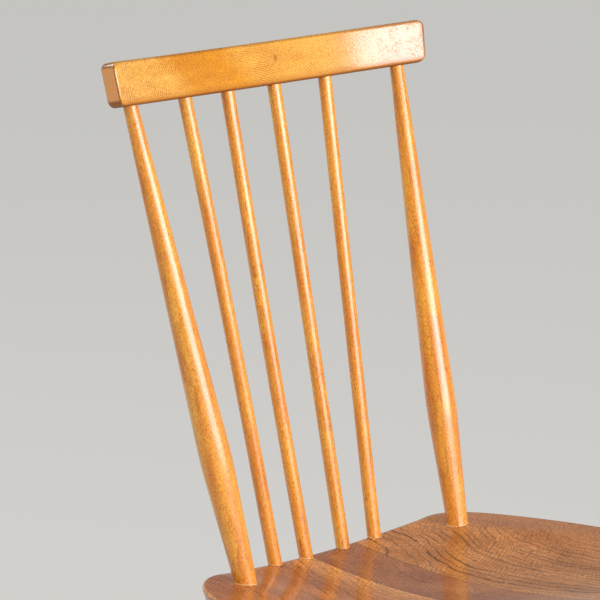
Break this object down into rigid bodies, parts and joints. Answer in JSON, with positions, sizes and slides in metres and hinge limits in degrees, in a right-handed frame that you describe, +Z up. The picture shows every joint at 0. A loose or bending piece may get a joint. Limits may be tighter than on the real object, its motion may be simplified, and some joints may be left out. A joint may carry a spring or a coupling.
{
  "type": "spindle back dining chair",
  "caption": "Wooden dining chair: dished solid seat, bowed crest rail on two turned posts with slim spindles between them, and splayed turned legs with an H stretcher.",
  "frame": {"origin": "on the floor, under the middle of the chair's box", "axes": "+Z up, -Y towards the front of the seat, where the sitter faces, +X towards the sitter's left hand when seated"},
  "size_m": [0.4638, 0.5214, 0.8906],
  "materials": {
    "turned_wood": "gloss lacquer over honey stain",
    "rail_wood": "gloss lacquer over honey stain",
    "seat_wood": "gloss lacquer over red brown stain",
    "seat_wood_dark": "gloss lacquer over red brown stain",
    "glide_nylon": "moulded nylon"
  },
  "bodies": {
    "root": {"seat_board_left": "seat_wood", "seat_board_middle": "seat_wood_dark", "seat_board_right": "seat_wood", "crest_rail": "rail_wood", "back_post_left": "turned_wood", "back_post_right": "turned_wood", "spindle_1": "turned_wood", "spindle_2": "turned_wood", "spindle_3": "turned_wood", "spindle_4": "turned_wood", "leg_front_left": "turned_wood", "leg_front_right": "turned_wood", "leg_rear_left": "turned_wood", "leg_rear_right": "turned_wood", "side_stretcher_left": "turned_wood", "side_stretcher_right": "turned_wood", "cross_stretcher": "turned_wood", "glide_front_left": "glide_nylon", "glide_front_right": "glide_nylon", "glide_rear_left": "glide_nylon", "glide_rear_right": "glide_nylon"}
  },
  "joints": []
}
